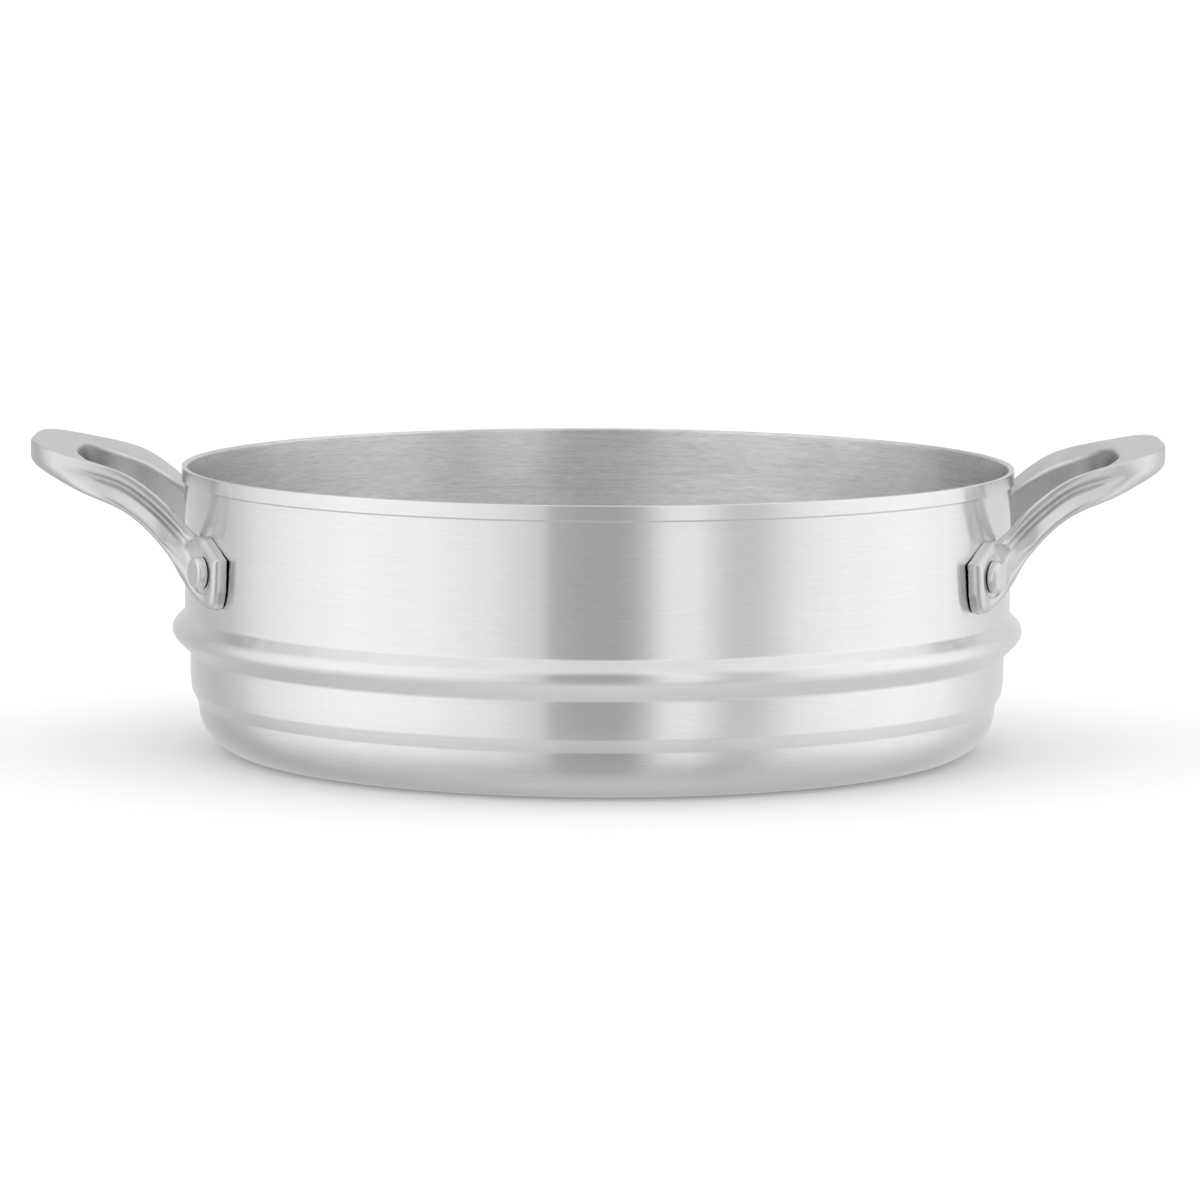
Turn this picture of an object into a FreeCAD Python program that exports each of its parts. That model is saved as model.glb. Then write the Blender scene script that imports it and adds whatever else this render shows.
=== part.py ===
import FreeCAD, Part
import math
import os

# Steamer insert for a 24 cm saucepan, in millimetres.
# The bowl's axis is Z, the base stands on Z = 0 and the handles point along +X and -X.

# Bowl: one drawn sheet. Radii are outside radii.
SHEET = 0.8
RIM_HEIGHT = 82.7
WALL_RADIUS = 120.2

# Rim band: the sheet thickened outwards. Its foot starts at the lower height.
RIM_RADIUS = 121.1
RIM_BAND_START = 78.1
RIM_BAND_FOOT = 0.5
RIM_BAND_ROUND = 0.15
RIM_OUTER_ROUND = 0.3
RIM_INNER_ROUND = 0.8

# Stop bead: two slopes at 45 degrees that meet in a round crest.
BEAD_CREST_HEIGHT = 35.3
BEAD_CREST_ROUND = 3.4
BEAD_CORNER_RADIUS = 125.2
BEAD_FOOT_ROUND = 1.5

# Spigot: the length under the bead that drops into the saucepan.
SPIGOT_RADIUS = 118.6
SPIGOT_LAND_START = 21.8
SPIGOT_TOE_RADIUS = 118.2
SPIGOT_TOE_HEIGHT = 17.9
SPIGOT_TOE_ROUND = 1.8

# Lower drum, one small step in from the spigot.
DRUM_RADIUS = 116.2
DRUM_HEIGHT = 14.0
DRUM_TOP_ROUND = 1.0
BASE_CORNER_ROUND = 13.4

# Steam holes: rings around a centre hole, six more holes in each ring than in the last.
STEAM_HOLE_RADIUS = 2.5
STEAM_RING_PITCH = 11.5
STEAM_RINGS = 8
HOLES_PER_RING_STEP = 6

# Handle casting, drawn for the +X side and symmetric about the XZ plane.
# Side view of the curved slab that it is cut from: X and Z.
SLAB_TOP = [(172.0, 91.7), (163.5, 90.7), (157.0, 89.1), (148.0, 86.9), (140.0, 84.9), (134.0, 82.6),
            (128.0, 78.7), (122.0, 73.5), (116.0, 67.4), (105.0, 56.6)]
SLAB_BOTTOM = [(172.0, 87.4), (163.0, 85.0), (155.0, 81.4), (147.0, 78.2), (140.0, 75.9), (133.0, 72.3),
               (126.0, 66.1), (116.0, 53.6), (105.0, 40.4)]
# Plan view of its outside and of the finger slot: X and half width.
LOOP_OUTSIDE = [(164.3, 0.0), (163.1, 17.5), (160.4, 26.5), (156.5, 33.0), (151.0, 38.0), (144.0, 42.0),
                (135.0, 45.2), (125.0, 47.8), (112.0, 51.7), (95.0, 55.0)]
LOOP_SLOT = [(151.0, 0.0), (150.3, 12.0), (148.2, 20.5), (144.0, 26.8), (137.5, 30.8), (128.0, 33.6),
             (115.0, 38.0), (95.0, 46.0)]
LOOP_UNDER_ROUND = 2.6
LOOP_TOP_ROUND = 0.6
GRIP_MIDDLE_HEIGHT = 87.5

# Riveting ear at each end of the handle: a flat plate that touches the wall along one line.
EAR_ANGLE = 25.5
EAR_CLEARANCE = 0.05
EAR_THICKNESS = 4.05
EAR_EDGE_CHAMFER = 0.4
# Its outline from the rivet: distance away from the handle's middle, height, corner rounding.
EAR_OUTLINE = [(-1.7, 9.6, 2.0), (9.6, 4.2, 0.8), (8.6, -5.0, 6.0), (6.6, -10.1, 3.5), (1.4, -10.1, 4.0),
               (-7.4, -5.3, 4.0), (-13.0, -1.7, 2.0), (-12.0, 6.0, 3.0), (-7.0, 9.6, 3.0)]

# Rivets: a flat button outside, a low head inside.
RIVET_HEIGHT = 56.3
SHANK_RADIUS = 3.0
SHANK_CLEARANCE = 0.05
BUTTON_RADIUS = 4.65
BUTTON_TOP_RADIUS = 4.2
BUTTON_HEIGHT = 2.7
BUTTON_ROUND = 0.6
SPOTFACE_RADIUS = 6.2
INNER_HEAD_RADIUS = 5.5
INNER_HEAD_HEIGHT = 1.8
INNER_HEAD_ROUND = 1.2

EAR_BACK = WALL_RADIUS + EAR_CLEARANCE
EAR_FACE = EAR_BACK + EAR_THICKNESS

CENTRE = FreeCAD.Vector(0, 0, 0)
OUTWARD = FreeCAD.Vector(1, 0, 0)
UP = FreeCAD.Vector(0, 0, 1)
# Longer than anything that a cutting tool or a blank has to pass through.
TALL = 60.0
# The loop's two rims are longer than this, and all its other edges are shorter.
LOOP_RIM_LENGTH = 100.0


def rounded_edges(corners):
    """Lines and arcs, in the XZ plane, along corners given as (x, z, rounding)."""
    points = [FreeCAD.Vector(x, 0, z) for x, z, rounding in corners]
    edges = []
    start = points[0]
    for before, corner, after, (x, z, rounding) in zip(points, points[1:], points[2:], corners[1:]):
        back = (before - corner).normalize()
        ahead = (after - corner).normalize()
        half_angle = back.getAngle(ahead) / 2
        if rounding == 0:
            edges.append(Part.LineSegment(start, corner).toShape())
            start = corner
            continue
        setback = rounding / math.tan(half_angle)
        middle = (back + ahead).normalize() * (rounding / math.sin(half_angle) - rounding)
        arc_start = corner + back * setback
        arc_end = corner + ahead * setback
        edges.append(Part.LineSegment(start, arc_start).toShape())
        edges.append(Part.Arc(arc_start, corner + middle, arc_end).toShape())
        start = arc_end
    edges.append(Part.LineSegment(start, points[-1]).toShape())
    return edges


def inner_corners(corners, thickness):
    """The same outline moved inwards by the sheet, with its roundings kept concentric."""
    moved = []
    for index, (x, z, rounding) in enumerate(corners):
        here = FreeCAD.Vector(x, 0, z)
        before = corners[max(index - 1, 0)]
        after = corners[min(index + 1, len(corners) - 1)]
        arriving = here - FreeCAD.Vector(before[0], 0, before[1])
        leaving = FreeCAD.Vector(after[0], 0, after[1]) - here
        if arriving.Length == 0:
            arriving = leaving
        if leaving.Length == 0:
            leaving = arriving
        arriving.normalize()
        leaving.normalize()
        left_of_arriving = FreeCAD.Vector(-arriving.z, 0, arriving.x)
        left_of_leaving = FreeCAD.Vector(-leaving.z, 0, leaving.x)
        shift = (left_of_arriving + left_of_leaving).normalize()
        shift = shift * (thickness / shift.dot(left_of_leaving))
        turns_left = arriving.x * leaving.z - arriving.z * leaving.x > 0
        new_rounding = rounding - thickness if turns_left else rounding + thickness
        moved.append((x + shift.x, z + shift.z, new_rounding if rounding else 0))
    return moved


def steamer_body():
    """The drawn bowl with its rim band, bead, spigot, perforated base and rivet holes."""
    slope_run = BEAD_CORNER_RADIUS - SPIGOT_RADIUS
    wall_run = BEAD_CORNER_RADIUS - WALL_RADIUS
    outside = [
        (0.0, 0.0, 0.0),
        (DRUM_RADIUS, 0.0, BASE_CORNER_ROUND),
        (DRUM_RADIUS, DRUM_HEIGHT, DRUM_TOP_ROUND),
        (SPIGOT_TOE_RADIUS, SPIGOT_TOE_HEIGHT, SPIGOT_TOE_ROUND),
        (SPIGOT_RADIUS, SPIGOT_LAND_START, 0.0),
        (SPIGOT_RADIUS, BEAD_CREST_HEIGHT - slope_run, BEAD_FOOT_ROUND),
        (BEAD_CORNER_RADIUS, BEAD_CREST_HEIGHT, BEAD_CREST_ROUND),
        (WALL_RADIUS, BEAD_CREST_HEIGHT + wall_run, BEAD_FOOT_ROUND),
    ]
    inside = inner_corners(outside + [(WALL_RADIUS, RIM_HEIGHT, 0.0)], SHEET)
    rim_band = [
        (WALL_RADIUS, RIM_BAND_START, RIM_BAND_ROUND),
        (RIM_RADIUS, RIM_BAND_START + RIM_BAND_FOOT, RIM_BAND_ROUND),
        (RIM_RADIUS, RIM_HEIGHT, RIM_OUTER_ROUND),
        (WALL_RADIUS - SHEET, RIM_HEIGHT, RIM_INNER_ROUND),
    ]
    section = outside + rim_band + inside[-2::-1] + outside[:1]
    face = Part.Face(Part.Wire(rounded_edges(section)))
    body = face.revolve(CENTRE, UP, 360)
    return body.cut(steam_holes()).cut(rivet_holes())


def steam_holes():
    """Punches for every steam hole in the base."""
    depth = SHEET * 3
    places = [FreeCAD.Vector(0, 0, -SHEET)]
    for ring in range(1, STEAM_RINGS + 1):
        count = ring * HOLES_PER_RING_STEP
        radius = ring * STEAM_RING_PITCH
        for number in range(count):
            angle = 2 * math.pi * number / count
            places.append(FreeCAD.Vector(radius * math.cos(angle), radius * math.sin(angle), -SHEET))
    return Part.makeCompound([Part.makeCylinder(STEAM_HOLE_RADIUS, depth, place) for place in places])


def at_rivet(shape, side, end):
    """Turn a shape drawn around the +X axis to one rivet: side 1 is +X, and end -1 is the front."""
    turned = shape.copy()
    turned.rotate(CENTRE, UP, EAR_ANGLE * end * side)
    if side < 0:
        turned.rotate(CENTRE, UP, 180)
    turned.translate(FreeCAD.Vector(0, 0, RIVET_HEIGHT))
    return turned


def rivet_holes():
    """Drills for the four rivet holes in the wall."""
    start = OUTWARD * (WALL_RADIUS - TALL / 2)
    drill = Part.makeCylinder(SHANK_RADIUS + SHANK_CLEARANCE, TALL, start, OUTWARD)
    return Part.makeCompound([at_rivet(drill, side, end) for side in (1, -1) for end in (1, -1)])


def plan_solid(half_outline):
    """An upright solid whose plan is the half outline and its mirror image across the XZ plane."""
    front = [FreeCAD.Vector(x, -y, 0) for x, y in reversed(half_outline[1:])]
    back = [FreeCAD.Vector(x, y, 0) for x, y in half_outline]
    curve = Part.BSplineCurve()
    curve.interpolate(front + back)
    closing = Part.LineSegment(back[-1], front[0])
    face = Part.Face(Part.Wire([curve.toShape(), closing.toShape()]))
    return face.extrude(UP * (RIM_HEIGHT + TALL))


def slab():
    """The curved slab that the handle's loop is cut from, seen from the side."""
    curves = []
    for points in (SLAB_TOP, SLAB_BOTTOM):
        curve = Part.BSplineCurve()
        curve.interpolate([FreeCAD.Vector(x, -TALL, z) for x, z in points])
        curves.append(curve.toShape())
    top, bottom = curves
    tip = Part.LineSegment(top.valueAt(top.FirstParameter), bottom.valueAt(bottom.FirstParameter))
    root = Part.LineSegment(top.valueAt(top.LastParameter), bottom.valueAt(bottom.LastParameter))
    wire = Part.Wire([top, root.toShape(), bottom, tip.toShape()])
    return Part.Face(wire).extrude(FreeCAD.Vector(0, 2 * TALL, 0))


def rims(shape, upper):
    """The two long edges of the loop on its upper or its under side."""
    long_edges = [edge for edge in shape.Edges if edge.Length > LOOP_RIM_LENGTH]
    return [edge for edge in long_edges if (edge.BoundBox.ZMax > GRIP_MIDDLE_HEIGHT) == upper]


def loop():
    """The bare loop of the handle, with its upper edges crisp and its under edges round."""
    shape = slab().common(plan_solid(LOOP_OUTSIDE)).cut(plan_solid(LOOP_SLOT))
    shape = shape.makeFillet(LOOP_TOP_ROUND, rims(shape, upper=True))
    return shape.makeFillet(LOOP_UNDER_ROUND, rims(shape, upper=False))


def ear():
    """The back ear, drawn around the +X axis with the rivet at height 0."""
    first_y, first_z, rounding = EAR_OUTLINE[0]
    last_y, last_z, rounding = EAR_OUTLINE[-1]
    seam = ((first_y + last_y) / 2, (first_z + last_z) / 2, 0.0)
    face = Part.Face(Part.Wire(rounded_edges([seam] + EAR_OUTLINE + [seam])))
    face.rotate(CENTRE, UP, 90)
    face.translate(OUTWARD * EAR_BACK)
    plate = face.extrude(OUTWARD * EAR_THICKNESS)
    front_edges = [edge for edge in plate.Edges if edge.BoundBox.XMin > EAR_FACE - EAR_EDGE_CHAMFER]
    return plate.makeChamfer(EAR_EDGE_CHAMFER, front_edges)


def handle():
    """One whole handle casting on the +X side: loop, two ears, rivet seats and rivet holes."""
    shape = loop()
    wall_space = Part.makeBox(EAR_BACK, TALL, 2 * TALL, FreeCAD.Vector(0, -TALL / 2, -TALL))
    shank_hole = Part.makeCylinder(SHANK_RADIUS + SHANK_CLEARANCE, EAR_FACE, CENTRE, OUTWARD)
    seat = Part.makeCylinder(SPOTFACE_RADIUS, TALL, OUTWARD * EAR_FACE, OUTWARD)
    back_ear = ear()
    front_ear = back_ear.mirror(CENTRE, FreeCAD.Vector(0, 1, 0))
    for end, plate in ((1, back_ear), (-1, front_ear)):
        shape = shape.cut(at_rivet(wall_space, 1, end)).fuse(at_rivet(plate, 1, end))
        shape = shape.cut(at_rivet(seat, 1, end)).cut(at_rivet(shank_hole, 1, end))
    return shape.removeSplitter()


def rivet():
    """One rivet around the +X axis, its inner head seated on the curve of the wall."""
    inner_seat = math.sqrt((WALL_RADIUS - SHEET) ** 2 - INNER_HEAD_RADIUS ** 2)
    inner_end = inner_seat - INNER_HEAD_HEIGHT
    outer_end = EAR_FACE + BUTTON_HEIGHT
    section = [
        (outer_end, 0.0, 0.0),
        (inner_end, 0.0, 0.0),
        (inner_end, INNER_HEAD_RADIUS, INNER_HEAD_ROUND),
        (inner_seat, INNER_HEAD_RADIUS, 0.0),
        (inner_seat, SHANK_RADIUS, 0.0),
        (EAR_FACE, SHANK_RADIUS, 0.0),
        (EAR_FACE, BUTTON_RADIUS, 0.0),
        (outer_end, BUTTON_TOP_RADIUS, BUTTON_ROUND),
        (outer_end, 0.0, 0.0),
    ]
    face = Part.Face(Part.Wire(rounded_edges(section)))
    return face.revolve(CENTRE, OUTWARD, 360)


def main():
    """Build every piece and write it to its own file."""
    right_handle = handle()
    left_handle = right_handle.copy()
    left_handle.rotate(CENTRE, UP, 180)
    pieces = {"steamer_body": steamer_body(), "handle_right": right_handle, "handle_left": left_handle}
    for side_name, side in (("right", 1), ("left", -1)):
        for end_name, end in (("front", -1), ("back", 1)):
            pieces["rivet_" + side_name + "_" + end_name] = at_rivet(rivet(), side, end)
    os.makedirs("parts", exist_ok=True)
    for name, shape in pieces.items():
        shape.exportStep("parts/" + name + ".step")
        print(name, "solids", len(shape.Solids), "valid", shape.isValid(), "mm3", round(shape.Volume))


main()
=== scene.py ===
import math

import bmesh
import bpy
import numpy as np
from mathutils import Matrix, Vector
from mathutils.geometry import delaunay_2d_cdt


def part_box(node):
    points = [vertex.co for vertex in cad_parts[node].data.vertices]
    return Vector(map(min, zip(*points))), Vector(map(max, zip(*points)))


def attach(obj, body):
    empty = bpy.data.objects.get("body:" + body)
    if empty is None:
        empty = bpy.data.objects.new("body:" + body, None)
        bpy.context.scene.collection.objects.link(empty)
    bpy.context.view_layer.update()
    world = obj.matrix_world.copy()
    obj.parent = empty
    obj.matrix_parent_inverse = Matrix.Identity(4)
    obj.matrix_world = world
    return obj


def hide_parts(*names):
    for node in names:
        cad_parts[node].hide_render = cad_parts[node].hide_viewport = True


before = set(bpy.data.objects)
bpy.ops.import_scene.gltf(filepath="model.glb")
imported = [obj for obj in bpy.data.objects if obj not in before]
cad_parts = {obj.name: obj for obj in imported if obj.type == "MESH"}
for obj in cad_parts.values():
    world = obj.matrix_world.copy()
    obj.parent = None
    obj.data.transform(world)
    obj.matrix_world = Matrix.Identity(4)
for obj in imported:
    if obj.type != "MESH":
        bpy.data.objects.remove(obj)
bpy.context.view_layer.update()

# Shapes are drawn in millimetres, as the object's drawings are, and scaled to metres at the end.
MM = 0.001

# Bowl, from the frame where the frame gives it. Radii are outside radii.
RIM_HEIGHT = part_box("steamer_body")[1].z / MM
SHEET = 0.8
WALL_RADIUS = 120.2
RIM_RADIUS = 121.1
RIM_BAND_START = 78.1
BEAD_HEIGHT = 35.3
BEAD_CORNER = 125.2
SPIGOT_RADIUS = 118.6
SPIGOT_LAND_START = 21.8
SPIGOT_TOE = (118.2, 17.9)
DRUM_RADIUS = 116.2
DRUM_HEIGHT = 14.0
BASE_CORNER_ROUND = 13.4
STEP_ROUND = 1.0
TOE_ROUND = 1.8
BEAD_FOOT_ROUND = 1.5
BEAD_CREST_ROUND = 3.4
RIM_FOOT_RISE = 0.5
RIM_FOOT_ROUND = 0.15
RIM_OUTER_ROUND = 0.3
RIM_INNER_ROUND = 0.8
AROUND = 288

# Perforated base.
BASE_DISC_RADIUS = 98.0
HOLE_RADIUS = 2.5
HOLE_LIP = 0.22
HOLE_SIDES = 20
RING_PITCH = 11.5
RINGS = 8
HOLES_PER_RING_STEP = 6

# Handle, drawn for the +X side: side view of its slab, X and Z.
SLAB_TOP = [(172.0, 91.7), (163.5, 90.7), (157.0, 89.1), (148.0, 86.9), (140.0, 84.9), (134.0, 82.6),
            (128.0, 78.7), (122.0, 73.5), (116.0, 67.4), (105.0, 56.6)]
SLAB_BOTTOM = [(172.0, 87.4), (163.0, 85.0), (155.0, 81.4), (147.0, 78.2), (140.0, 75.9), (133.0, 72.3),
               (126.0, 66.1), (116.0, 53.6), (105.0, 40.4)]
# Plan view: superellipses about one centre, as X reach, half width and exponent.
LOOP_CENTRE = 105.0
LOOP_CREASE = (59.3, 40.6, 3.7)
LOOP_DISH = (46.8, 40.2, 5.0)
LOOP_SLOT = (46.0, 32.0, 3.6)
SLOT_FLARE = 5.0
# Where each change along the loop starts and is complete, in X.
FLANK_SPAN = (163.0, 156.0)
ARM_SPAN = (156.0, 140.0)
ROOT_SPAN = (124.0, 113.0)
FLARE_SPAN = (135.0, 100.0)
# Relief of the loop's outside, placed by depth under the top face.
LIP_BULGE = 0.35
LIP_DEPTH = 1.6
GROOVE_CUT = 0.8
GROOVE_DEPTH = 3.8
GROOVE_WIDTH = 0.9
TIP_SWELL = 1.3
TIP_SWELL_DEPTHS = (0.6, 4.5)
ARM_SWELL = 5.4
ROOT_SWELL = 4.2
SWELL_DEPTHS = (3.7, 10.2)
# Dish in the arms: its margin inside the crease, its fall per millimetre and how far in it runs.
DISH_MARGIN = 0.5
DISH_FALL = 0.28
DISH_RUN = 14
# Top edge rounding, and what the tip and the roots add to it.
TOP_EDGE = 0.5
TIP_EDGE = 0.5
ROOT_EDGE = 3.2
# How far the underside lies below its line, and its rounding at the tip and what the flank adds.
UNDERSIDE_DROP = 0.9
ARM_DROP = 0.3
ROOT_RISE = 1.1
SLOT_SIDE_DROP = 1.2
SLOT_SIDE_SPAN = (2.0, 9.0)
UNDERSIDE_ROUND = 2.0
FLANK_ROUND = 2.5
SLOT_ROUND = 1.3

# Ears and rivets, as in the frame.
EAR_ANGLE = math.radians(25.5)
EAR_BACK = WALL_RADIUS + 0.05
EAR_FACE = EAR_BACK + 4.05
EAR_OUTLINE = [(-1.7, 9.6, 2.0), (9.6, 4.2, 0.8), (8.6, -5.0, 6.0), (6.6, -10.1, 3.5), (1.4, -10.1, 4.0),
               (-7.4, -5.3, 4.0), (-13.0, -1.7, 2.0), (-12.0, 6.0, 3.0), (-7.0, 9.6, 3.0)]
RIVET_HEIGHT = 56.3
SHANK_RADIUS = 3.0
BUTTON_RADIUS = 4.65
BUTTON_HEIGHT = 2.7
SPOTFACE_RADIUS = 5.7
SPOTFACE_ROUND = 1.0
SHANK_CLEARANCE = 0.05
EAR_BEVEL = 0.9
EAR_BEVEL_ROUND = 1.1
EAR_FACE_ROUND = 0.25
SHARP_EDGE = 0.15
ARM_EAR_FILLET = 6.5
INNER_HEAD_RADIUS = 5.5
INNER_HEAD_HEIGHT = 1.8
RIVET_SIDES = 64

MESH_CELL = 0.4
MESH_MARGIN = 1.5


# ---------------------------------------------------------------- mesh helpers

def sampled_outline(corners, longest=4.0, arc_step=7.0):
    """Points along corners given as (r, z, rounding): straights are divided and corners become arcs."""
    stops = [np.array(corners[0][:2])]
    for before, corner, after in zip(corners, corners[1:], corners[2:]):
        here = np.array(corner[:2])
        back = np.array(before[:2]) - here
        ahead = np.array(after[:2]) - here
        back = back / np.linalg.norm(back)
        ahead = ahead / np.linalg.norm(ahead)
        rounding = corner[2]
        if rounding == 0:
            stops.append(here)
            continue
        half = math.acos(float(np.clip(back @ ahead, -1, 1))) / 2
        centre = here + (back + ahead) / np.linalg.norm(back + ahead) * rounding / math.sin(half)
        first = here + back * rounding / math.tan(half) - centre
        last = here + ahead * rounding / math.tan(half) - centre
        turn = math.pi - 2 * half
        count = max(3, math.ceil(math.degrees(turn) / arc_step))
        for step in range(count + 1):
            share = step / count
            blend = first * math.sin((1 - share) * turn) + last * math.sin(share * turn)
            stops.append(centre + blend / math.sin(turn))
    stops.append(np.array(corners[-1][:2]))
    points = [stops[0]]
    for stop in stops[1:]:
        length = np.linalg.norm(stop - points[-1])
        if length < 1e-6:
            continue
        pieces = max(1, math.ceil(length / longest))
        start = points[-1]
        points.extend(start + (stop - start) * number / pieces for number in range(1, pieces + 1))
    return np.array(points)


def inner_corners(corners, thickness):
    """The outline moved to its left by the sheet, with roundings kept concentric."""
    moved = []
    for index, (r, z, rounding) in enumerate(corners):
        here = Vector((r, z))
        arriving = (here - Vector(corners[index - 1][:2])).normalized() if index else None
        leaving = (Vector(corners[index + 1][:2]) - here).normalized() if index + 1 < len(corners) else None
        arriving = arriving or leaving
        leaving = leaving or arriving
        normals = [Vector((-d.y, d.x)) for d in (arriving, leaving)]
        shift = (normals[0] + normals[1]).normalized()
        shift = shift * (thickness / shift.dot(normals[1]))
        turns_left = arriving.x * leaving.y - arriving.y * leaving.x > 0
        grown = rounding - thickness if turns_left else rounding + thickness
        moved.append((r + shift.x, z + shift.y, grown if rounding else 0))
    return moved


def lathe(points, sides):
    """Vertices and quads of points (r, z) turned about Z. A closed outline needs no caps."""
    angles = np.linspace(0, 2 * math.pi, sides, endpoint=False)
    circle = np.stack([np.cos(angles), np.sin(angles)], 1)
    rings = [np.column_stack([circle * r, np.full(sides, z)]) for r, z in points]
    quads = []
    for ring in range(len(points) - 1):
        low, high = ring * sides, (ring + 1) * sides
        for side in range(sides):
            after = (side + 1) % sides
            quads.append((low + side, low + after, high + after, high + side))
    return np.concatenate(rings), quads


def make_piece(name, vertices, faces, material, node, merge=1e-5):
    """A smooth mesh piece in metres that rides on the root and stands for a CAD node."""
    mesh = bpy.data.meshes.new(name)
    mesh.from_pydata((np.asarray(vertices) * MM).tolist(), [], faces)
    mesh.validate()
    piece = bpy.data.objects.new(name, mesh)
    bpy.context.scene.collection.objects.link(piece)
    if merge:
        weld(mesh, merge)
    mesh.polygons.foreach_set("use_smooth", [True] * len(mesh.polygons))
    mesh.materials.append(material)
    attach(piece, "root")
    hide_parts(node)


def weld(mesh, distance):
    """Merge the vertices that two parts of a mesh share and point every face outwards."""
    work = bmesh.new()
    work.from_mesh(mesh)
    bmesh.ops.remove_doubles(work, verts=work.verts, dist=distance)
    bmesh.ops.recalc_face_normals(work, faces=work.faces)
    work.to_mesh(mesh)
    work.free()


# ---------------------------------------------------------------- bowl

def body_outline():
    """The section of the drawn sheet, from the base disc's edge up the outside and down the inside."""
    outside = [
        (BASE_DISC_RADIUS, 0.0, 0.0),
        (DRUM_RADIUS, 0.0, BASE_CORNER_ROUND),
        (DRUM_RADIUS, DRUM_HEIGHT, STEP_ROUND),
        (*SPIGOT_TOE, TOE_ROUND),
        (SPIGOT_RADIUS, SPIGOT_LAND_START, 0.0),
        (SPIGOT_RADIUS, BEAD_HEIGHT - (BEAD_CORNER - SPIGOT_RADIUS), BEAD_FOOT_ROUND),
        (BEAD_CORNER, BEAD_HEIGHT, BEAD_CREST_ROUND),
        (WALL_RADIUS, BEAD_HEIGHT + (BEAD_CORNER - WALL_RADIUS), BEAD_FOOT_ROUND),
    ]
    inside = inner_corners(outside + [(WALL_RADIUS, RIM_HEIGHT, 0.0)], SHEET)
    rim_band = [
        (WALL_RADIUS, RIM_BAND_START, RIM_FOOT_ROUND),
        (RIM_RADIUS, RIM_BAND_START + RIM_FOOT_RISE, RIM_FOOT_ROUND),
        (RIM_RADIUS, RIM_HEIGHT, RIM_OUTER_ROUND),
        (WALL_RADIUS - SHEET, RIM_HEIGHT, RIM_INNER_ROUND),
    ]
    return sampled_outline(outside + rim_band + inside[-2::-1])


def hole_centres():
    """A centre hole and rings around it, six more holes in each ring than in the last."""
    centres = [(0.0, 0.0)]
    for ring in range(1, RINGS + 1):
        count = ring * HOLES_PER_RING_STEP
        for number in range(count):
            angle = 2 * math.pi * number / count
            centres.append((ring * RING_PITCH * math.cos(angle), ring * RING_PITCH * math.sin(angle)))
    return centres


def perforated_disc(centres, height, faces_up, offset):
    """One face of the base: a disc with round holes, as vertices and triangles."""
    loops = [(0.0, 0.0, BASE_DISC_RADIUS, AROUND)]
    loops += [(x, y, HOLE_RADIUS + HOLE_LIP, HOLE_SIDES) for x, y in centres]
    points, edges = [], []
    for x, y, radius, sides in loops:
        start = len(points)
        for side in range(sides):
            angle = 2 * math.pi * side / sides
            points.append(Vector((x + radius * math.cos(angle), y + radius * math.sin(angle))))
            edges.append((start + side, start + (side + 1) % sides))
    flat, _, triangles, *_ = delaunay_2d_cdt(points, edges, [], 0, 1e-4)
    flat = np.array([tuple(p) for p in flat])
    triangles = np.array(triangles)
    middles = flat[triangles].mean(1)
    away = np.linalg.norm(middles[:, None] - np.array(centres)[None], axis=2).min(1)
    solid = triangles[away > HOLE_RADIUS + HOLE_LIP / 2]
    if not faces_up:
        solid = solid[:, ::-1]
    vertices = np.column_stack([flat, np.full(len(flat), height)])
    return vertices, (solid + offset).tolist()


def steamer_bowl(material):
    """The drawn sheet: a turned shell, the perforated base disc and the rounded wall of each hole."""
    vertices, faces = lathe(body_outline(), AROUND)
    blocks, count = [vertices], len(vertices)
    centres = hole_centres()
    for height, faces_up in ((0.0, False), (SHEET, True)):
        more, triangles = perforated_disc(centres, height, faces_up, count)
        blocks.append(more)
        faces.extend(triangles)
        count += len(more)
    lip = HOLE_RADIUS + HOLE_LIP
    section = sampled_outline([(lip, SHEET, 0), (HOLE_RADIUS, SHEET, HOLE_LIP * 0.99),
                               (HOLE_RADIUS, 0, HOLE_LIP * 0.99), (lip, 0, 0)], arc_step=45)
    wall, quads = lathe(section, HOLE_SIDES)
    for x, y in centres:
        blocks.append(wall + np.array([x, y, 0]))
        faces.extend(tuple(corner + count for corner in quad) for quad in quads)
        count += len(wall)
    make_piece("bowl_sheet", np.concatenate(blocks), faces, material, "steamer_body",
               merge=2e-6)


# ---------------------------------------------------------------- handles

def spline(points):
    """A natural cubic through points (x, y): a function that gives value and slope."""
    x, y = np.array(sorted(points)).T
    h = np.diff(x)
    rows = np.eye(len(x))
    right = np.zeros(len(x))
    for i in range(1, len(x) - 1):
        rows[i, i - 1:i + 2] = h[i - 1], 2 * (h[i - 1] + h[i]), h[i]
        right[i] = 6 * ((y[i + 1] - y[i]) / h[i] - (y[i] - y[i - 1]) / h[i - 1])
    bend = np.linalg.solve(rows, right)

    def evaluate(at):
        i = np.clip(np.searchsorted(x, at) - 1, 0, len(h) - 1)
        left, right_side = at - x[i], x[i + 1] - at
        start = y[i] / h[i] - bend[i] * h[i] / 6
        end = y[i + 1] / h[i] - bend[i + 1] * h[i] / 6
        value = (bend[i] * right_side ** 3 + bend[i + 1] * left ** 3) / (6 * h[i])
        value = value + start * right_side + end * left
        slope = (bend[i + 1] * left ** 2 - bend[i] * right_side ** 2) / (2 * h[i]) - start + end
        return value, slope
    return evaluate


def smooth_max(a, b, k):
    """The larger of two fields, with the edge between them rounded over about k."""
    h = np.clip(0.5 + 0.5 * (a - b) / k, 0, 1)
    return b + (a - b) * h + k * h * (1 - h)


def smooth_min(a, b, k):
    """The smaller of two fields, with a fillet of about k."""
    return -smooth_max(-a, -b, k)


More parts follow.
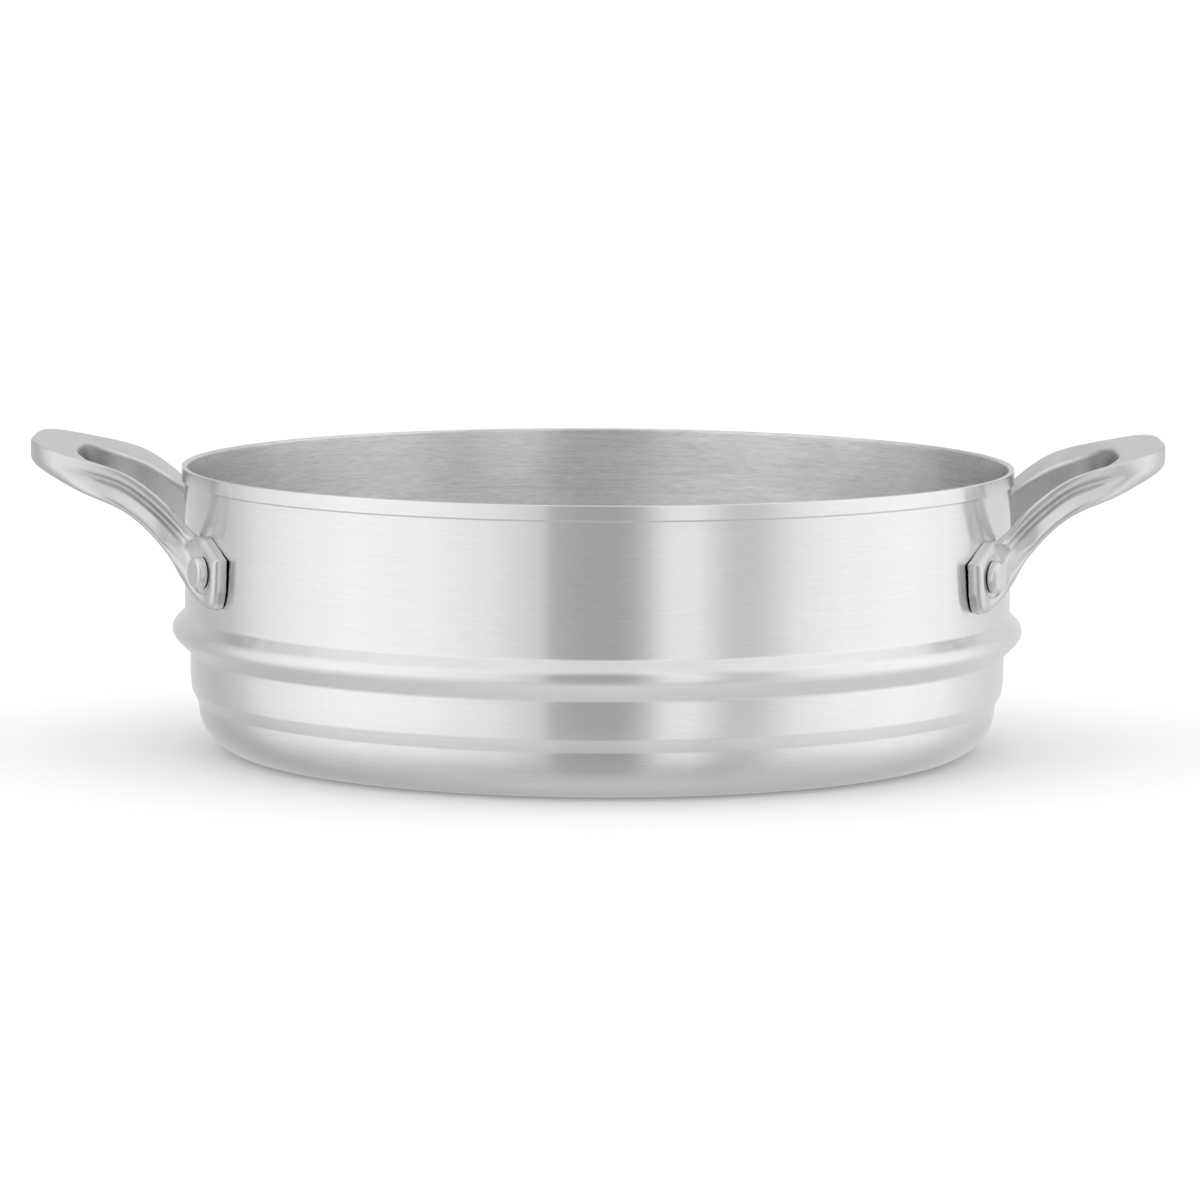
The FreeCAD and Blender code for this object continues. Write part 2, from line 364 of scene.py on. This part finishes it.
def ramp(value, start, end):
    """0 before start, 1 after end, smooth between; start may be above end."""
    share = np.clip((value - start) / (end - start), 0, 1)
    return share * share * (3 - 2 * share)


def superellipse(x, y, reach, width, power):
    """About how far a plan point lies outside a superellipse; negative inside."""
    u = np.abs(x - LOOP_CENTRE) / reach
    v = np.abs(y) / width
    level = u ** power + v ** power
    root = np.maximum(level, 1e-9) ** (1 / power)
    slope = np.maximum(level, 1e-9) ** (1 / power - 1)
    steep = np.hypot(slope * u ** (power - 1) / reach, slope * v ** (power - 1) / width)
    return (root - 1) / np.maximum(steep, 1 / (2 * reach))


top_line = spline(SLAB_TOP)
bottom_line = spline(SLAB_BOTTOM)


def loop_field(x, y, z):
    """The finger loop: a curved slab with a flat grip, arms dished towards the slot, a lip along the
    outside of each arm, a groove under the lip and a swelling flank."""
    top, top_slope = top_line(x)
    bottom, bottom_slope = bottom_line(x)
    depth = (top - z) / np.sqrt(1 + top_slope ** 2)
    below = (bottom - z) / np.sqrt(1 + bottom_slope ** 2)
    flank = ramp(x, *FLANK_SPAN)
    arm = ramp(x, *ARM_SPAN)
    root = ramp(x, *ROOT_SPAN)
    crease = superellipse(x, y, *LOOP_CREASE)
    lip = LIP_BULGE * flank * np.clip(1 - ((depth - LIP_DEPTH) / LIP_DEPTH) ** 2, 0, 1)
    swell = TIP_SWELL * flank * (1 - arm) * ramp(depth, *TIP_SWELL_DEPTHS)
    swell = swell + (ARM_SWELL * arm + ROOT_SWELL * root) * ramp(depth, *SWELL_DEPTHS)
    groove = GROOVE_CUT * arm * (1 - root) * np.exp(-((depth - GROOVE_DEPTH) / GROOVE_WIDTH) ** 2)
    outside = crease - lip - swell + groove
    hollow = -np.maximum(crease + DISH_MARGIN, superellipse(x, y, *LOOP_DISH))
    dish = DISH_FALL * np.clip(hollow, 0, DISH_RUN)
    shape = smooth_max(dish - depth, outside, TOP_EDGE + TIP_EDGE * (1 - flank) + ROOT_EDGE * root)
    deeper = UNDERSIDE_DROP + (ARM_DROP - ROOT_RISE * root) * arm
    deeper = deeper + SLOT_SIDE_DROP * arm * ramp(-crease, *SLOT_SIDE_SPAN)
    shape = smooth_max(shape, below - deeper, UNDERSIDE_ROUND + FLANK_ROUND * flank)
    flare = SLOT_FLARE * ramp(x, *FLARE_SPAN)
    slot = -superellipse(x, np.maximum(np.abs(y) - flare, 0), *LOOP_SLOT)
    return smooth_max(shape, slot, SLOT_ROUND)


def ear_field(out, along, up):
    """One riveting ear: a flat plate with a rounded convex outline and a bevelled front edge."""
    corners = EAR_OUTLINE + EAR_OUTLINE[:1]
    inside = None
    for (s0, w0, rounding), (s1, w1, _) in zip(corners, corners[1:]):
        direction = np.array([s1 - s0, w1 - w0]) / math.hypot(s1 - s0, w1 - w0)
        side = (up - w0) * direction[0] - (along - s0) * direction[1]
        if inside is None:
            inside = side
        else:
            inside = smooth_max(inside, side, max(rounding * (1 - direction @ before), 0.05))
        before = direction
    face = out - EAR_FACE
    bevel = (inside + face + EAR_BEVEL) / math.sqrt(2)
    return smooth_max(smooth_max(inside, face, EAR_FACE_ROUND), bevel, EAR_BEVEL_ROUND)


def handle_field(x, y, z):
    """The whole casting around the +X side. Negative inside; it is symmetric in Y."""
    y = np.abs(y)
    out = x * math.cos(EAR_ANGLE) + y * math.sin(EAR_ANGLE)
    along = y * math.cos(EAR_ANGLE) - x * math.sin(EAR_ANGLE)
    up = z - RIVET_HEIGHT
    shape = smooth_min(loop_field(x, y, z), ear_field(out, along, up), ARM_EAR_FILLET)
    shape = smooth_max(shape, EAR_BACK - out, SHARP_EDGE)
    from_axis = np.hypot(along, up)
    seat = np.maximum(from_axis - SPOTFACE_RADIUS, EAR_FACE - out)
    shape = smooth_max(shape, -seat, SPOTFACE_ROUND)
    return smooth_max(shape, SHANK_RADIUS + SHANK_CLEARANCE - from_axis, SHARP_EDGE)


def gradient(field, points, reach=0.05):
    """Slope of a field at points, by small steps each way."""
    steps = np.eye(3) * reach
    sides = [field(*(points + step).T) - field(*(points - step).T) for step in steps]
    return np.stack(sides, 1) / (2 * reach)


def field_mesh(field, low, high, cell):
    """Quads on the zero level of a field: one vertex in each cell that the level crosses, then moved
    onto the level."""
    axes = [np.arange(a, b + cell, cell) for a, b in zip(low, high)]
    grid = field(*np.meshgrid(*axes, indexing="ij"))
    inside = grid < 0
    shape = np.array(grid.shape)
    total = np.zeros(tuple(shape - 1) + (3,))
    crossings = np.zeros(tuple(shape - 1))
    for axis in range(3):
        others = [other for other in range(3) if other != axis]
        first = grid[tuple(slice(0, -1) if a == axis else slice(None) for a in range(3))]
        second = grid[tuple(slice(1, None) if a == axis else slice(None) for a in range(3))]
        crossed = (first < 0) != (second < 0)
        share = np.where(crossed, first / np.where(crossed, first - second, 1), 0)
        for i in (0, 1):
            for j in (0, 1):
                pick = [slice(0, shape[a] - 1) for a in range(3)]
                pick[others[0]] = slice(i, shape[others[0]] - 1 + i)
                pick[others[1]] = slice(j, shape[others[1]] - 1 + j)
                hit = crossed[tuple(pick)]
                crossings += hit
                total[..., axis] += share[tuple(pick)]
                total[..., others[0]] += hit * i
                total[..., others[1]] += hit * j
    used = crossings > 0
    number = np.full(tuple(shape - 1), -1)
    number[used] = np.arange(used.sum())
    corner = np.argwhere(used)
    vertices = (corner + total[used] / crossings[used][:, None]) * cell + np.array([a[0] for a in axes])
    quads = []
    for axis in range(3):
        b, c = (axis + 1) % 3, (axis + 2) % 3
        first = inside[tuple(slice(0, -1) if a == axis else slice(None) for a in range(3))]
        second = inside[tuple(slice(1, None) if a == axis else slice(None) for a in range(3))]
        at = np.argwhere(first != second)
        at = at[(at[:, b] > 0) & (at[:, c] > 0) & (at[:, b] < shape[b] - 1) & (at[:, c] < shape[c] - 1)]
        around = []
        for db, dc in ((-1, -1), (0, -1), (0, 0), (-1, 0)):
            cell_index = at.copy()
            cell_index[:, b] += db
            cell_index[:, c] += dc
            around.append(number[tuple(cell_index.T)])
        quad = np.stack(around, 1)
        flip = ~first[tuple(at.T)]
        quad[flip] = quad[flip][:, ::-1]
        quads.append(quad)
    quads = np.concatenate(quads)
    for _ in range(4):
        slope = gradient(field, vertices)
        size = np.maximum((slope ** 2).sum(1), 0.05)
        vertices = vertices - slope * (field(*vertices.T) / size)[:, None]
    return vertices, quads.tolist()


def relax(vertices, quads, field, rounds):
    """Even out the vertices along the surface, and put them back on it each time."""
    quads = np.array(quads)
    pairs = np.concatenate([quads[:, [i, (i + 1) % 4]] for i in range(4)])
    pairs = np.concatenate([pairs, pairs[:, ::-1]])
    count = np.bincount(pairs[:, 0], minlength=len(vertices))[:, None]
    for _ in range(rounds):
        mean = np.stack([np.bincount(pairs[:, 0], weights=vertices[pairs[:, 1], a], minlength=len(vertices))
                         for a in range(3)], 1) / count
        moved = vertices + (mean - vertices) * 0.5
        slope = gradient(field, moved)
        size = np.maximum((slope ** 2).sum(1), 0.05)
        vertices = moved - slope * (field(*moved.T) / size)[:, None]
    return vertices


def handles(material):
    """Both castings: the same mesh, turned half round for the -X side."""
    low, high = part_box("handle_right")
    low = np.array(low) / MM - MESH_MARGIN
    high = np.array(high) / MM + MESH_MARGIN
    cell = MESH_CELL
    vertices, quads = field_mesh(handle_field, low, high, cell)
    vertices = relax(vertices, quads, handle_field, 3)
    make_piece("handle_casting_right", vertices, quads, material, "handle_right",
               merge=0)
    turned = vertices * np.array([-1, -1, 1])
    make_piece("handle_casting_left", turned, quads, material, "handle_left",
               merge=0)


# ---------------------------------------------------------------- rivets

def rivet_mesh():
    """One rivet turned about Z, with its distance from the bowl's axis as height."""
    seat = math.sqrt((WALL_RADIUS - SHEET) ** 2 - INNER_HEAD_RADIUS ** 2)
    inner = seat - INNER_HEAD_HEIGHT
    outer = EAR_FACE + BUTTON_HEIGHT
    section = sampled_outline([
        (0.02, inner, 0.0), (3.2, inner, 6.0),
        (INNER_HEAD_RADIUS, inner + 0.5, 1.0), (INNER_HEAD_RADIUS, seat, 0.15),
        (SHANK_RADIUS, seat, 0.0), (SHANK_RADIUS, EAR_FACE, 0.0),
        (BUTTON_RADIUS, EAR_FACE, 0.15), (BUTTON_RADIUS - 0.1, outer - 0.7, 1.2),
        (BUTTON_RADIUS - 0.75, outer, 0.35), (0.02, outer, 0.0)], longest=1.0, arc_step=12)
    return lathe(section, RIVET_SIDES)


def rivets(material):
    """Four rivets, one through each ear."""
    vertices, quads = rivet_mesh()
    last = len(vertices) - RIVET_SIDES
    quads = quads + [tuple(reversed(range(RIVET_SIDES))), tuple(range(last, last + RIVET_SIDES))]
    for side_name, side in (("right", 1), ("left", -1)):
        for end_name, end in (("front", -1), ("back", 1)):
            angle = EAR_ANGLE * end * side + (math.pi if side < 0 else 0)
            turn = Matrix.Rotation(angle, 3, "Z") @ Matrix.Rotation(math.pi / 2, 3, "Y")
            placed = vertices @ np.array(turn).T + np.array([0, 0, RIVET_HEIGHT])
            name = side_name + "_" + end_name
            make_piece("rivet_button_" + name, placed, quads, material, "rivet_" + name,
                       merge=0)


# ---------------------------------------------------------------- materials

class Nodes:
    """Short calls for building one material's node tree."""

    def __init__(self, name):
        self.material = bpy.data.materials.new(name)
        self.material.use_nodes = True
        self.tree = self.material.node_tree
        self.shader = self.tree.nodes["Principled BSDF"]

    def add(self, kind, **settings):
        node = self.tree.nodes.new(kind)
        for key, value in settings.items():
            setattr(node, key, value)
        return node

    def link(self, output, target):
        self.tree.links.new(output, target)

    def object_position(self):
        return self.add("ShaderNodeTexCoord").outputs["Object"]

    def scaled(self, vector, scale):
        mapping = self.add("ShaderNodeMapping")
        mapping.inputs["Scale"].default_value = scale
        self.link(vector, mapping.inputs["Vector"])
        return mapping.outputs["Vector"]

    def noise(self, vector, scale, detail=3.0, roughness=0.5):
        node = self.add("ShaderNodeTexNoise")
        node.inputs["Scale"].default_value = scale
        node.inputs["Detail"].default_value = detail
        node.inputs["Roughness"].default_value = roughness
        self.link(vector, node.inputs["Vector"])
        return node.outputs["Fac"]

    def math(self, operation, first, second=None):
        node = self.add("ShaderNodeMath", operation=operation)
        for socket, value in zip(node.inputs, (first, second)):
            if value is None:
                continue
            if isinstance(value, (int, float)):
                socket.default_value = value
            else:
                self.link(value, socket)
        return node.outputs[0]

    def between(self, factor, low, high, start=0.0, end=1.0):
        node = self.add("ShaderNodeMapRange")
        node.inputs["From Min"].default_value = start
        node.inputs["From Max"].default_value = end
        node.inputs["To Min"].default_value = low
        node.inputs["To Max"].default_value = high
        self.link(factor, node.inputs["Value"])
        return node.outputs["Result"]

    def colour(self, factor, dark, light, start=0.3, end=0.7):
        node = self.add("ShaderNodeMix", data_type="RGBA")
        node.inputs["A"].default_value = (*dark, 1)
        node.inputs["B"].default_value = (*light, 1)
        self.link(self.between(factor, 0, 1, start, end), node.inputs["Factor"])
        return node.outputs["Result"]

    def bump(self, height, distance, strength=1.0, after=None):
        node = self.add("ShaderNodeBump")
        node.inputs["Strength"].default_value = strength
        node.inputs["Distance"].default_value = distance
        self.link(height, node.inputs["Height"])
        if after:
            self.link(after, node.inputs["Normal"])
        return node.outputs["Normal"]


# Brushed sheet: metres along the brush for one radian, and the share of the radius in the way across.
BRUSH_ALONG = 0.12
BRUSH_ACROSS = 0.83
# Noise scales, the first two along the brush and the third across it.
HAIRS = (260.0, 260.0, 2900.0)
LINES = (45.0, 45.0, 1300.0)
CLOUD = (25.0, 25.0, 60.0)
# Outside and inside of the bowl: its grey, how much the grey varies, roughness and relief. The inside's
# slightly lower grey is painted shade for the inside of the bowl.
SHEET_SHARE = (0.84, 0.80)
SHEET_SHADE = (0.3, 1.5)
SHEET_ROUGHNESS = (0.2, 0.31)
SHEET_RELIEF = (0.9, 1.5)
RELIEF_HEIGHT = 0.00002
# Grey on the base corner and above it, and the heights in metres between which it changes. The greyer base
# corner is partly a greyer finish and partly painted shade for the darker reflections low on the bowl.
DRUM_SHADED_SHARE = (0.68, 0.84, 0.009, 0.017)


def brushed_sheet():
    """Drawn stainless sheet, brushed around the bowl: finely outside, with plain brush lines inside."""
    n = Nodes("brushed_stainless_sheet")
    split = n.add("ShaderNodeSeparateXYZ")
    n.link(n.object_position(), split.inputs[0])
    level = n.add("ShaderNodeCombineXYZ")
    n.link(split.outputs["X"], level.inputs["X"])
    n.link(split.outputs["Y"], level.inputs["Y"])
    radius = n.add("ShaderNodeVectorMath", operation="LENGTH")
    n.link(level.outputs[0], radius.inputs[0])
    radial = n.add("ShaderNodeVectorMath", operation="NORMALIZE")
    n.link(level.outputs[0], radial.inputs[0])
    # Height and radius together change on every stretch of the section that the brush crosses.
    across = n.math("ADD", split.outputs["Z"], n.math("MULTIPLY", radius.outputs["Value"], BRUSH_ACROSS))
    # Metres along the brush and across it.
    around = n.add("ShaderNodeVectorMath", operation="SCALE")
    around.inputs["Scale"].default_value = BRUSH_ALONG
    n.link(radial.outputs[0], around.inputs[0])
    upright = n.add("ShaderNodeCombineXYZ")
    n.link(across, upright.inputs["Z"])
    place = n.add("ShaderNodeVectorMath", operation="ADD")
    n.link(around.outputs[0], place.inputs[0])
    n.link(upright.outputs[0], place.inputs[1])
    hairs = n.noise(n.scaled(place.outputs[0], HAIRS), 1.0, 2.0, 0.6)
    lines = n.noise(n.scaled(place.outputs[0], LINES), 1.0, 3.0, 0.6)
    cloud = n.noise(n.scaled(place.outputs[0], CLOUD), 1.0, 3.0, 0.5)
    grain = n.math("ADD", n.math("MULTIPLY", hairs, 0.6), n.math("MULTIPLY", lines, 0.4))
    # 1 on the faces that look into the bowl, 0 on the outside.
    geometry = n.add("ShaderNodeNewGeometry")
    outward = n.add("ShaderNodeVectorMath", operation="DOT_PRODUCT")
    n.link(geometry.outputs["Normal"], outward.inputs[0])
    n.link(radial.outputs[0], outward.inputs[1])
    facing = n.add("ShaderNodeSeparateXYZ")
    n.link(geometry.outputs["Normal"], facing.inputs[0])
    lean = n.math("SUBTRACT", outward.outputs["Value"], n.math("MULTIPLY", facing.outputs["Z"], 0.5))
    inside = n.math("LESS_THAN", lean, 0.0)
    depth = n.between(inside, *SHEET_SHADE)
    mottled = n.math("ADD", n.math("MULTIPLY", grain, 0.7), n.math("MULTIPLY", cloud, 0.3))
    shade = n.between(mottled, -0.13, 0.13, 0.3, 0.7)
    # The base corner is painted greyer than the wall above it: partly a greyer finish, partly painted shade
    # for the darker reflections low on the bowl.
    drum_shade = n.between(split.outputs["Z"], *DRUM_SHADED_SHARE)
    drum_shade = n.math("MAXIMUM", drum_shade, n.math("MULTIPLY", inside, SHEET_SHARE[1]))
    # Inside faces take the inside grey, a little under the outside's as painted shade inside the bowl.
    plain = n.math("MINIMUM", drum_shade, n.between(inside, *SHEET_SHARE))
    share = n.math("ADD", n.math("MULTIPLY", shade, depth), plain)
    grey = n.add("ShaderNodeCombineColor")
    for channel in ("Red", "Green"):
        n.link(share, grey.inputs[channel])
    n.link(n.math("MULTIPLY", share, 0.995), grey.inputs["Blue"])
    n.link(grey.outputs[0], n.shader.inputs["Base Color"])
    polish = n.math("ADD", n.between(cloud, -0.02, 0.02, 0.3, 0.7), n.between(inside, *SHEET_ROUGHNESS))
    n.link(polish, n.shader.inputs["Roughness"])
    relief = n.math("MULTIPLY", grain, n.between(inside, *SHEET_RELIEF))
    n.link(n.bump(relief, RELIEF_HEIGHT, 1.0), n.shader.inputs["Normal"])
    tangent = n.add("ShaderNodeTangent", direction_type="RADIAL", axis="Z")
    n.link(tangent.outputs[0], n.shader.inputs["Tangent"])
    n.shader.inputs["Metallic"].default_value = 1.0
    n.shader.inputs["Anisotropic"].default_value = 1.0
    n.shader.inputs["Anisotropic Rotation"].default_value = 0.25
    return n.material


def cast_steel():
    """Satin cast stainless steel, with painted shade on the steep faces of the loop that turn in towards
    the bowl's axis, where the casting shades itself.
    """
    n = Nodes("satin_cast_steel")
    position = n.object_position()
    flat = n.add("ShaderNodeVectorMath", operation="MULTIPLY")
    flat.inputs[1].default_value = (1.0, 1.0, 0.0)
    n.link(position, flat.inputs[0])
    radial = n.add("ShaderNodeVectorMath", operation="NORMALIZE")
    n.link(flat.outputs[0], radial.inputs[0])
    geometry = n.add("ShaderNodeNewGeometry")
    outward = n.add("ShaderNodeVectorMath", operation="DOT_PRODUCT")
    n.link(geometry.outputs["Normal"], outward.inputs[0])
    n.link(radial.outputs[0], outward.inputs[1])
    facing = n.add("ShaderNodeSeparateXYZ")
    n.link(geometry.outputs["Normal"], facing.inputs[0])
    # Painted shade mask: 1 on steep faces turned in towards the bowl's axis (the slot and the arms' inner
    # faces), 0 on faces that look up or outwards.
    steep = n.between(facing.outputs["Z"], 1.0, 0.0, 0.2, 0.6)
    inward = n.between(outward.outputs["Value"], 1.0, 0.0, -0.85, -0.15)
    slot_shade = n.math("MULTIPLY", inward, steep)
    grit = n.noise(position, 1500.0, 4.0, 0.6)
    soft = n.noise(position, 90.0, 3.0, 0.5)
    satin = n.colour(soft, (0.67, 0.67, 0.67), (0.75, 0.75, 0.745))
    # Those faces are painted a dark grey, 0.38, as painted shade.
    shaded_satin = n.add("ShaderNodeMix", data_type="RGBA")
    shaded_satin.inputs["B"].default_value = (0.38, 0.38, 0.38, 1)
    n.link(satin, shaded_satin.inputs["A"])
    n.link(slot_shade, shaded_satin.inputs["Factor"])
    n.link(shaded_satin.outputs["Result"], n.shader.inputs["Base Color"])
    n.link(n.between(soft, 0.24, 0.31, 0.3, 0.7), n.shader.inputs["Roughness"])
    waves = n.bump(soft, 0.00005, 0.2)
    n.link(n.bump(grit, 0.0000015, 0.4, waves), n.shader.inputs["Normal"])
    n.shader.inputs["Metallic"].default_value = 1.0
    return n.material


def rivet_steel():
    """Bright stainless rivet heads with a faint unevenness from the press."""
    n = Nodes("rivet_stainless")
    position = n.object_position()
    press = n.noise(position, 350.0, 2.0, 0.5)
    grit = n.noise(position, 2500.0, 3.0, 0.6)
    n.link(n.colour(press, (0.76, 0.76, 0.755), (0.82, 0.82, 0.815)), n.shader.inputs["Base Color"])
    n.link(n.between(grit, 0.27, 0.33, 0.3, 0.7), n.shader.inputs["Roughness"])
    n.link(n.bump(press, 0.00001, 0.3), n.shader.inputs["Normal"])
    n.shader.inputs["Metallic"].default_value = 1.0
    return n.material


def floor_material():
    """Plain pale matt floor."""
    n = Nodes("pale_floor")
    n.shader.inputs["Base Color"].default_value = (0.96, 0.96, 0.96, 1)
    n.shader.inputs["Roughness"].default_value = 0.9
    n.shader.inputs["Specular IOR Level"].default_value = 0.1
    return n.material


# ---------------------------------------------------------------- stage

# Brightness of the studio round the object: bearing from straight in front, degrees, then light.
STUDIO_RING = [(-180, 0.7), (-136, 0.55), (-122, 0.62), (-109, 0.86), (-97, 0.97), (-72, 1.1), (-48, 1.04),
               (-29, 0.9), (-18, 0.74), (-14.2, 0.66), (-12.6, 0.47), (-4, 0.40), (4, 0.39), (9, 0.42),
               (14, 0.62), (19, 0.9), (27, 0.94), (38, 0.62), (45, 0.64), (58, 0.93), (72, 1.04), (95, 1.1),
               (113, 1.03), (127, 0.85), (145, 0.75), (180, 0.7)]
# Share of that ring at each height, and the plain light of ceiling and floor that fills the rest.
# Heights are sines of the elevation.
RING_SHARE = [(-1, 0), (-0.85, 0.15), (-0.7, 0.45), (-0.5, 0.6), (-0.3, 0.95), (0.4, 1), (0.7, 0.7),
              (0.9, 0.15), (1, 0)]
PLAIN_LIGHT = [(-1, 0.80), (-0.93, 0.70), (-0.8, 0.64), (-0.65, 0.60), (-0.5, 0.62), (-0.35, 0.74),
               (-0.15, 0.96), (0.3, 1.02), (0.7, 1.0), (0.93, 0.92), (1, 0.88)]

FLOOR_HALF = 40.0
OVERHEAD_STRENGTH = 0.9
OVERHEAD_SPREAD = math.radians(150)

CAMERA_LENS = 186.08
CAMERA_PLACE = (0.00078, -1.8, 0.2512)
CAMERA_DOWN = 6.6
CAMERA_ROLL = 0.304


def studio_world():
    """Soft white light from all round, with the darker gaps between the studio's soft boxes."""
    world = bpy.data.worlds.new("studio")
    bpy.context.scene.world = world
    world.use_nodes = True
    tree = world.node_tree
    background = tree.nodes["Background"]

    def add(kind, **settings):
        node = tree.nodes.new(kind)
        for key, value in settings.items():
            setattr(node, key, value)
        return node

    place = add("ShaderNodeTexCoord")
    split = add("ShaderNodeSeparateXYZ")
    tree.links.new(place.outputs["Generated"], split.inputs[0])
    forward = add("ShaderNodeMath", operation="MULTIPLY")
    forward.inputs[1].default_value = -1
    tree.links.new(split.outputs["Y"], forward.inputs[0])
    bearing = add("ShaderNodeMath", operation="ARCTAN2")
    tree.links.new(split.outputs["X"], bearing.inputs[0])
    tree.links.new(forward.outputs[0], bearing.inputs[1])
    share = add("ShaderNodeMapRange")
    share.inputs["From Min"].default_value = -math.pi
    share.inputs["From Max"].default_value = math.pi
    tree.links.new(bearing.outputs[0], share.inputs["Value"])
    ring = add("ShaderNodeValToRGB")
    stops = ring.color_ramp.elements
    for degrees, _ in STUDIO_RING[1:-1]:
        stops.new((degrees + 180) / 360)
    for stop, (degrees, light) in zip(stops, STUDIO_RING):
        stop.position = (degrees + 180) / 360
        stop.color = (light, light, light, 1)
    tree.links.new(share.outputs["Result"], ring.inputs["Fac"])

    def band(stops_up):
        """Light against height: the sine of the elevation runs from -1 to 1."""
        height = add("ShaderNodeMapRange")
        height.inputs["From Min"].default_value = -1
        height.inputs["From Max"].default_value = 1
        tree.links.new(split.outputs["Z"], height.inputs["Value"])
        node = add("ShaderNodeValToRGB")
        elements = node.color_ramp.elements
        for sine, _ in stops_up[1:-1]:
            elements.new((sine + 1) / 2)
        for element, (sine, value) in zip(elements, stops_up):
            element.position = (sine + 1) / 2
            element.color = (value, value, value, 1)
        tree.links.new(height.outputs["Result"], node.inputs["Fac"])
        return node.outputs["Color"]

    mix = add("ShaderNodeMix", data_type="RGBA")
    tree.links.new(band(RING_SHARE), mix.inputs["Factor"])
    tree.links.new(band(PLAIN_LIGHT), mix.inputs["A"])
    tree.links.new(ring.outputs["Color"], mix.inputs["B"])
    tree.links.new(mix.outputs["Result"], background.inputs["Color"])
    background.inputs["Strength"].default_value = 1.0


def stage_floor():
    """A wide pale floor, left out of the metal's reflections, which show the studio's own floor."""
    half = FLOOR_HALF
    corners = [(-half, -half, 0), (half, -half, 0), (half, half, 0), (-half, half, 0)]
    mesh = bpy.data.meshes.new("floor")
    mesh.from_pydata(corners, [], [(0, 1, 2, 3)])
    floor = bpy.data.objects.new("floor", mesh)
    bpy.context.scene.collection.objects.link(floor)
    mesh.materials.append(floor_material())
    floor.visible_glossy = False


def overhead_light():
    """Even light from above that whitens the floor; the metal's reflections come from the studio alone."""
    data = bpy.data.lights.new("overhead_light", "SUN")
    data.energy = OVERHEAD_STRENGTH
    data.angle = OVERHEAD_SPREAD
    lamp = bpy.data.objects.new("overhead_light", data)
    bpy.context.scene.collection.objects.link(lamp)
    lamp.location = (0, 0, 2)
    lamp.visible_glossy = False


def camera():
    """Front view from a little above, through a long lens."""
    data = bpy.data.cameras.new("camera")
    data.sensor_width = 36.0
    data.lens = CAMERA_LENS
    data.clip_end = 100.0
    view = bpy.data.objects.new("camera", data)
    bpy.context.scene.collection.objects.link(view)
    pitch = math.radians(90 - CAMERA_DOWN)
    roll = math.radians(CAMERA_ROLL)
    turn = Matrix.Rotation(pitch, 4, "X") @ Matrix.Rotation(roll, 4, "Z")
    view.matrix_world = Matrix.Translation(CAMERA_PLACE) @ turn
    bpy.context.scene.camera = view


# ---------------------------------------------------------------- build

sheet_steel = brushed_sheet()
steamer_bowl(sheet_steel)
handles(cast_steel())
rivets(rivet_steel())
studio_world()
stage_floor()
overhead_light()
camera()
bpy.context.scene.view_settings.view_transform = "Standard"
